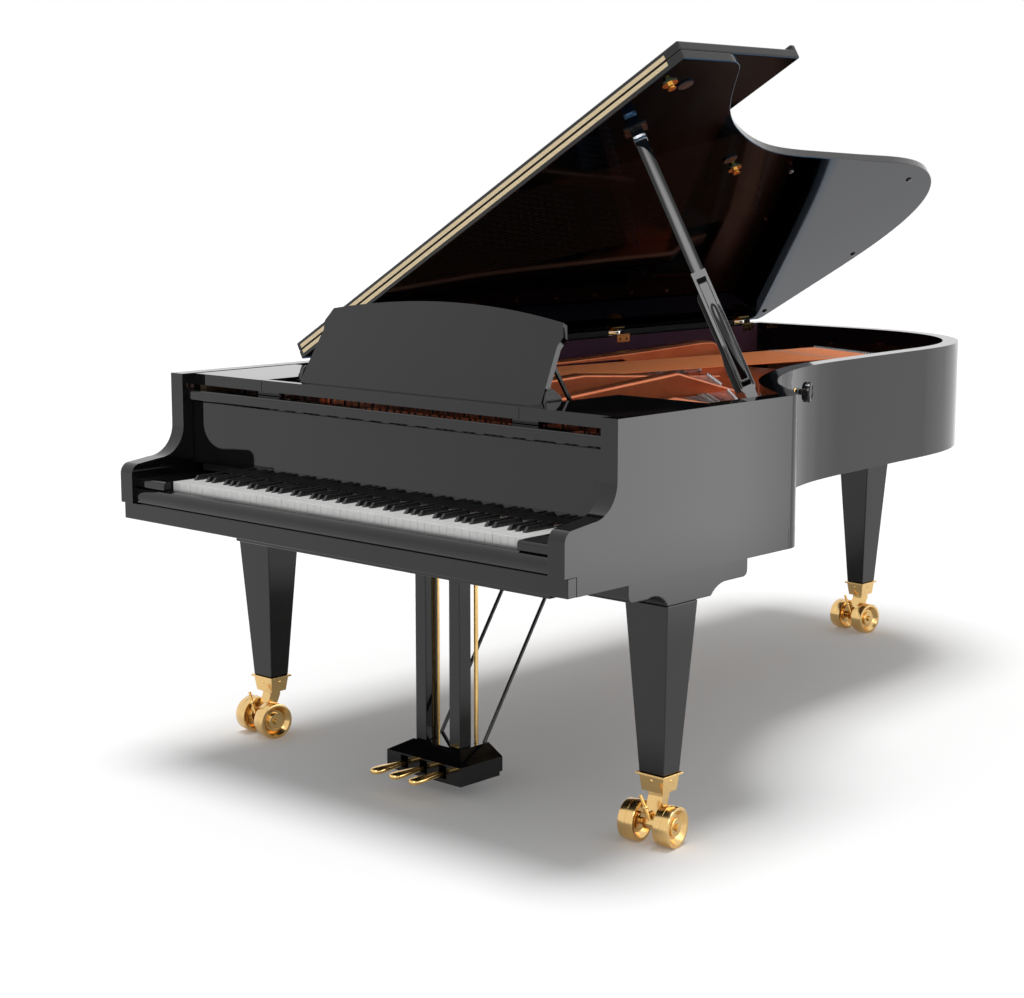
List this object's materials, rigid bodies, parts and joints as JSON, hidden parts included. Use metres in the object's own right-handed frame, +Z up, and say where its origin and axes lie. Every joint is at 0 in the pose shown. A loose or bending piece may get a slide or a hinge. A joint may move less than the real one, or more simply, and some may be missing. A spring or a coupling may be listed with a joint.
{
  "type": "grand piano",
  "caption": "Concert grand piano with open lid on its prop, folded front flap, music desk, pedal lyre and three legs on brass casters.",
  "frame": {"origin": "middle of the floor area that the piano takes up with its lid open, at floor level", "axes": "+X to the treble side, +Y from the keyboard to the tail, +Z up"},
  "size_m": [1.5726, 2.816, 1.8576],
  "materials": {
    "black_lacquer": "polished black lacquer on wood",
    "bare_wood": "sawn and planed beech and spruce",
    "soundboard_wood": "varnished spruce",
    "bronze_iron": "bronze lacquer on cast iron",
    "steel": "drawn steel",
    "copper_wire": "copper winding",
    "brass": "polished brass",
    "white_key": "smooth white key cover",
    "black_key": "satin black",
    "felt": "pressed felt on wood",
    "black_fitting": "satin black"
  },
  "bodies": {
    "case": {"case_rim": "black_lacquer", "inner_rim": "bare_wood", "back_braces": "bare_wood", "front_board": "black_lacquer", "keybed": "black_lacquer", "key_slip": "black_lacquer", "key_blocks": "black_lacquer", "nameboard": "black_lacquer", "soundboard": "soundboard_wood", "soundboard_ribs": "bare_wood", "bridges": "bare_wood", "iron_plate": "bronze_iron", "plate_bolts": "brass", "pinblock": "bare_wood", "tuning_pins": "steel", "bass_strings": "copper_wire", "treble_strings": "steel", "shelf_cleats": "bare_wood", "music_shelf_left": "black_lacquer", "music_shelf_right": "black_lacquer", "lyre_head": "black_lacquer", "lyre_posts": "black_lacquer", "lyre_box": "black_lacquer", "lyre_braces": "brass", "front_legs": "black_lacquer", "rear_leg": "black_lacquer", "leg_blocks": "black_lacquer", "caster_caps": "brass", "lid_hinges": "brass", "prop_bracket": "brass"},
    "lock_knob": {"lock_knob": "black_fitting"},
    "key_frame": {"keyframe": "bare_wood"},
    "white_keys": {"white_keys": "white_key"},
    "black_keys": {"black_keys": "black_key"},
    "hammers": {"hammers": "felt"},
    "dampers": {"dampers": "felt"},
    "fallboard": {"fallboard": "black_lacquer"},
    "desk_base": {"desk_base": "black_lacquer"},
    "music_desk": {"music_desk": "black_lacquer"},
    "desk_strut": {"desk_strut": "brass"},
    "lid": {"lid": "black_lacquer", "flap_hinge": "brass", "lid_catches": "brass", "prop_cups": "black_fitting"},
    "lid_flap": {"lid_flap": "black_lacquer", "flap_leaf": "brass"},
    "long_prop": {"long_prop": "black_lacquer"},
    "short_prop": {"short_prop": "black_lacquer"},
    "soft_pedal": {"soft_pedal": "brass"},
    "soft_rod": {"soft_rod": "brass"},
    "sostenuto_pedal": {"sostenuto_pedal": "brass"},
    "sostenuto_rod": {"sostenuto_rod": "brass"},
    "damper_pedal": {"damper_pedal": "brass"},
    "damper_rod": {"damper_rod": "brass"},
    "caster_left": {"caster_fork_left": "brass"},
    "wheels_left": {"caster_wheels_left": "brass"},
    "caster_right": {"caster_fork_right": "brass"},
    "wheels_right": {"caster_wheels_right": "brass"},
    "caster_rear": {"caster_fork_rear": "brass"},
    "wheels_rear": {"caster_wheels_rear": "brass"}
  },
  "joints": [
    {"name": "lid_hinge", "type": "hinge", "parent": "case", "child": "lid", "pos_m": [-0.75367, -0.408, 1.023], "axis": [0, -1, 0], "range_deg": [0, 30]},
    {"name": "flap_fold", "type": "hinge", "parent": "lid", "child": "lid_flap", "pos_m": [-0.10041, -0.7745, 1.43151], "axis": [0.866, 0, 0.5], "range_deg": [0, 180]},
    {"name": "prop_fold", "type": "hinge", "parent": "case", "child": "long_prop", "pos_m": [0.70632, -0.623, 0.99], "axis": [-0.6891, -0.6056, -0.3979], "range_deg": [0, 70.73]},
    {"name": "short_prop_swing", "type": "hinge", "parent": "long_prop", "child": "short_prop", "pos_m": [0.67652, -0.62937, 1.05131], "axis": [0.6891, 0.6056, 0.3979], "range_deg": [0, 30]},
    {"name": "fallboard_turn", "type": "hinge", "parent": "case", "child": "fallboard", "pos_m": [0.01632, -1.193, 0.79], "axis": [1, 0, 0], "range_deg": [0, 90]},
    {"name": "desk_slide", "type": "slide", "parent": "case", "child": "desk_base", "axis": [0, 1, 0], "range_m": [0, 0.12]},
    {"name": "desk_fold", "type": "hinge", "parent": "desk_base", "child": "music_desk", "pos_m": [0.01632, -1.086, 1.006], "axis": [-1, 0, 0], "range_deg": [0, 61]},
    {"name": "desk_strut_turn", "type": "hinge", "parent": "music_desk", "child": "desk_strut", "pos_m": [0.01632, -1.02234, 1.09547], "axis": [1, 0, 0], "range_deg": [0, 116.1]},
    {"name": "key_frame_shift", "type": "slide", "parent": "case", "child": "key_frame", "axis": [1, 0, 0], "range_m": [0, 0.003], "stiffness_N_per_m": 3000, "springref_m": -0.004},
    {"name": "white_key_press", "type": "hinge", "parent": "key_frame", "child": "white_keys", "pos_m": [0.01632, -1.158, 0.728], "axis": [1, 0, 0], "range_deg": [0, 2.8], "stiffness_Nm_per_rad": 200, "springref_deg": -2.86},
    {"name": "black_key_press", "type": "hinge", "parent": "key_frame", "child": "black_keys", "pos_m": [0.01632, -1.158, 0.728], "axis": [1, 0, 0], "range_deg": [0, 2.8], "stiffness_Nm_per_rad": 200, "springref_deg": -2.86},
    {"name": "hammer_lift", "type": "hinge", "parent": "key_frame", "child": "hammers", "pos_m": [0.01632, -0.933, 0.827], "axis": [1, 0, 0], "range_deg": [0, 19.7]},
    {"name": "soft_pedal_press", "type": "hinge", "parent": "case", "child": "soft_pedal", "pos_m": [-0.03168, -1.028, 0.064], "axis": [1, 0, 0], "range_deg": [0, 6.1]},
    {"name": "soft_rod_lift", "type": "slide", "parent": "case", "child": "soft_rod", "axis": [0, 0, 1], "range_m": [0, 0.00732]},
    {"name": "sostenuto_pedal_press", "type": "hinge", "parent": "case", "child": "sostenuto_pedal", "pos_m": [0.03633, -1.028, 0.064], "axis": [1, 0, 0], "range_deg": [0, 6], "stiffness_Nm_per_rad": 60, "springref_deg": -4.58},
    {"name": "sostenuto_rod_lift", "type": "slide", "parent": "case", "child": "sostenuto_rod", "axis": [0, 0, 1], "range_m": [0, 0.00732]},
    {"name": "damper_pedal_press", "type": "hinge", "parent": "case", "child": "damper_pedal", "pos_m": [0.10433, -1.028, 0.064], "axis": [1, 0, 0], "range_deg": [0, 6], "stiffness_Nm_per_rad": 60, "springref_deg": -4.58},
    {"name": "damper_rod_lift", "type": "slide", "parent": "case", "child": "damper_rod", "axis": [0, 0, 1], "range_m": [0, 0.00732]},
    {"name": "damper_lift", "type": "slide", "parent": "case", "child": "dampers", "axis": [0, 0, 1], "range_m": [0, 0.0062]},
    {"name": "lock_knob_turn", "type": "hinge", "parent": "case", "child": "lock_knob", "pos_m": [0.45586, -0.1471, 0.972], "axis": [0.9104, 0.4137, 0], "range_deg": [0, 90]},
    {"name": "caster_swivel_left", "type": "hinge", "parent": "case", "child": "caster_left", "pos_m": [-0.67268, -0.978, 0.15], "axis": [0, 0, 1], "continuous": true},
    {"name": "wheel_spin_left", "type": "hinge", "parent": "caster_left", "child": "wheels_left", "pos_m": [-0.67643, -1.00474, 0.049], "axis": [0.9903, -0.1392, 0], "continuous": true},
    {"name": "caster_swivel_right", "type": "hinge", "parent": "case", "child": "caster_right", "pos_m": [0.70532, -0.978, 0.15], "axis": [0, 0, 1], "continuous": true},
    {"name": "wheel_spin_right", "type": "hinge", "parent": "caster_right", "child": "wheels_right", "pos_m": [0.70908, -1.00474, 0.049], "axis": [0.9903, 0.1392, 0], "continuous": true},
    {"name": "caster_swivel_rear", "type": "hinge", "parent": "case", "child": "caster_rear", "pos_m": [-0.19667, 1.252, 0.15], "axis": [0, 0, 1], "continuous": true},
    {"name": "wheel_spin_rear", "type": "hinge", "parent": "caster_rear", "child": "wheels_rear", "pos_m": [-0.20043, 1.22526, 0.049], "axis": [0.9903, -0.1392, 0], "continuous": true}
  ],
  "couplings": [
    {"joint": "desk_strut_turn", "follows": "desk_fold", "ratio": 1.9016},
    {"joint": "hammer_lift", "follows": "white_key_press", "ratio": 7},
    {"joint": "soft_pedal_press", "follows": "key_frame_shift", "rad_per_m": 34.907},
    {"joint": "soft_rod_lift", "follows": "key_frame_shift", "ratio": 2.3736},
    {"joint": "sostenuto_rod_lift", "follows": "sostenuto_pedal_press", "m_per_rad": 0.068},
    {"joint": "damper_rod_lift", "follows": "damper_pedal_press", "m_per_rad": 0.068},
    {"joint": "damper_lift", "follows": "damper_pedal_press", "m_per_rad": 0.057}
  ]
}
